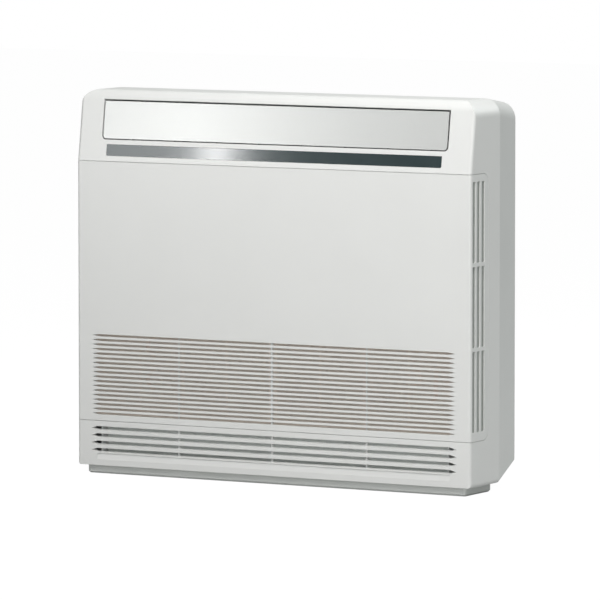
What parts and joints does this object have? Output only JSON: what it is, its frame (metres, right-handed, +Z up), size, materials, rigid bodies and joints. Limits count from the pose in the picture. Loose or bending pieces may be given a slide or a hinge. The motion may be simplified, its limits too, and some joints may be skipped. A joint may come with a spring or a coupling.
{
  "type": "floor console air conditioner indoor unit",
  "caption": "Low white floor-standing indoor air conditioner with a hinged upper flap, a pull-off front panel with intake slots, and a louvred lower outlet over a radial fan and coil",
  "frame": {"origin": "middle of the footprint, on the floor", "axes": "X to the right seen from the front, Y to the back, Z up; the front face looks along -Y"},
  "size_m": [0.72, 0.199, 0.62],
  "materials": {
    "case": "satin",
    "side_net": "matte",
    "flap": "satin",
    "window": "gloss",
    "duct": "matte",
    "fan": "matte",
    "filter_frame": "matte",
    "mesh": "woven",
    "vane": "matte",
    "motor": "satin",
    "steel": "zinc plated",
    "fins": "mill",
    "plate": "galvanised",
    "copper": "drawn copper",
    "brass": "machined",
    "plinth": "matte",
    "board": "matte",
    "terminal": "matte"
  },
  "bodies": {
    "housing": {"cabinet": "case", "display_window": "window", "display_board": "board", "upper_duct": "duct", "vane_motor": "motor", "flap_motor": "motor", "fan_casing": "duct", "orifice_plate": "duct", "bell_mouth": "duct", "fan_motor": "motor", "lower_duct": "duct", "damper_motor": "motor", "drain_pan": "duct", "coil_fins": "fins", "coil_plate_left": "plate", "coil_plate_right": "plate", "coil_tube": "copper", "gas_pipe": "copper", "gas_flare_nut": "brass", "liquid_pipe": "copper", "liquid_flare_nut": "brass", "back_frame": "duct", "wall_plate": "plate", "base": "plinth", "control_box": "plate", "control_cover": "plate", "control_board": "board", "terminal_block": "terminal", "casing_screws": "steel", "motor_screws": "steel", "cover_screws": "steel"},
    "front_panel": {"front_panel": "case", "side_filter_left": "side_net", "side_filter_right": "side_net"},
    "filter_left": {"filter_frame_left": "filter_frame", "filter_mesh_left": "mesh"},
    "filter_right": {"filter_frame_right": "filter_frame", "filter_mesh_right": "mesh"},
    "flap": {"upper_flap": "flap"},
    "damper": {"lower_damper": "case"},
    "fan": {"turbo_fan": "fan", "fan_shroud": "fan", "motor_shaft": "steel", "fan_nut": "steel"},
    "vane_1": {"vane_1": "vane"},
    "vane_2": {"vane_2": "vane"},
    "vane_3": {"vane_3": "vane"},
    "vane_4": {"vane_4": "vane"},
    "vane_5": {"vane_5": "vane"},
    "vane_6": {"vane_6": "vane"},
    "vane_7": {"vane_7": "vane"},
    "vane_8": {"vane_8": "vane"},
    "vane_link": {"vane_link": "case"}
  },
  "joints": [
    {"name": "panel_pull", "type": "slide", "parent": "housing", "child": "front_panel", "axis": [0, -1, 0], "range_m": [0, 0.13]},
    {"name": "filter_lift_left", "type": "slide", "parent": "front_panel", "child": "filter_left", "axis": [0, 0, 1], "range_m": [0, 0.12]},
    {"name": "filter_lift_right", "type": "slide", "parent": "front_panel", "child": "filter_right", "axis": [0, 0, 1], "range_m": [0, 0.12]},
    {"name": "flap_swing", "type": "hinge", "parent": "housing", "child": "flap", "pos_m": [0, -0.08605, 0.55521], "axis": [1, 0, 0], "range_deg": [0, 70]},
    {"name": "damper_swing", "type": "hinge", "parent": "housing", "child": "damper", "pos_m": [0, -0.078, 0.0755], "axis": [1, 0, 0], "range_deg": [0, 80]},
    {"name": "fan_spin", "type": "hinge", "parent": "housing", "child": "fan", "pos_m": [0, 0, 0.292], "axis": [0, 1, 0], "continuous": true},
    {"name": "vane_1_turn", "type": "hinge", "parent": "housing", "child": "vane_1", "pos_m": [-0.273, -0.054, 0.5393], "axis": [0, 0, 1], "range_deg": [-35, 35]},
    {"name": "vane_2_turn", "type": "hinge", "parent": "housing", "child": "vane_2", "pos_m": [-0.195, -0.054, 0.5393], "axis": [0, 0, 1], "range_deg": [-35, 35]},
    {"name": "vane_3_turn", "type": "hinge", "parent": "housing", "child": "vane_3", "pos_m": [-0.117, -0.054, 0.5393], "axis": [0, 0, 1], "range_deg": [-35, 35]},
    {"name": "vane_4_turn", "type": "hinge", "parent": "housing", "child": "vane_4", "pos_m": [-0.039, -0.054, 0.5393], "axis": [0, 0, 1], "range_deg": [-35, 35]},
    {"name": "vane_5_turn", "type": "hinge", "parent": "housing", "child": "vane_5", "pos_m": [0.039, -0.054, 0.5393], "axis": [0, 0, 1], "range_deg": [-35, 35]},
    {"name": "vane_6_turn", "type": "hinge", "parent": "housing", "child": "vane_6", "pos_m": [0.117, -0.054, 0.5393], "axis": [0, 0, 1], "range_deg": [-35, 35]},
    {"name": "vane_7_turn", "type": "hinge", "parent": "housing", "child": "vane_7", "pos_m": [0.195, -0.054, 0.5393], "axis": [0, 0, 1], "range_deg": [-35, 35]},
    {"name": "vane_8_turn", "type": "hinge", "parent": "housing", "child": "vane_8", "pos_m": [0.273, -0.054, 0.5393], "axis": [0, 0, 1], "range_deg": [-35, 35]},
    {"name": "link_turn", "type": "hinge", "parent": "vane_1", "child": "vane_link", "pos_m": [-0.273, -0.067, 0.5846], "axis": [0, 0, 1], "range_deg": [-35, 35]}
  ],
  "couplings": [
    {"joint": "vane_2_turn", "follows": "vane_1_turn", "ratio": 1},
    {"joint": "vane_3_turn", "follows": "vane_1_turn", "ratio": 1},
    {"joint": "vane_4_turn", "follows": "vane_1_turn", "ratio": 1},
    {"joint": "vane_5_turn", "follows": "vane_1_turn", "ratio": 1},
    {"joint": "vane_6_turn", "follows": "vane_1_turn", "ratio": 1},
    {"joint": "vane_7_turn", "follows": "vane_1_turn", "ratio": 1},
    {"joint": "vane_8_turn", "follows": "vane_1_turn", "ratio": 1},
    {"joint": "link_turn", "follows": "vane_1_turn", "ratio": -1}
  ]
}
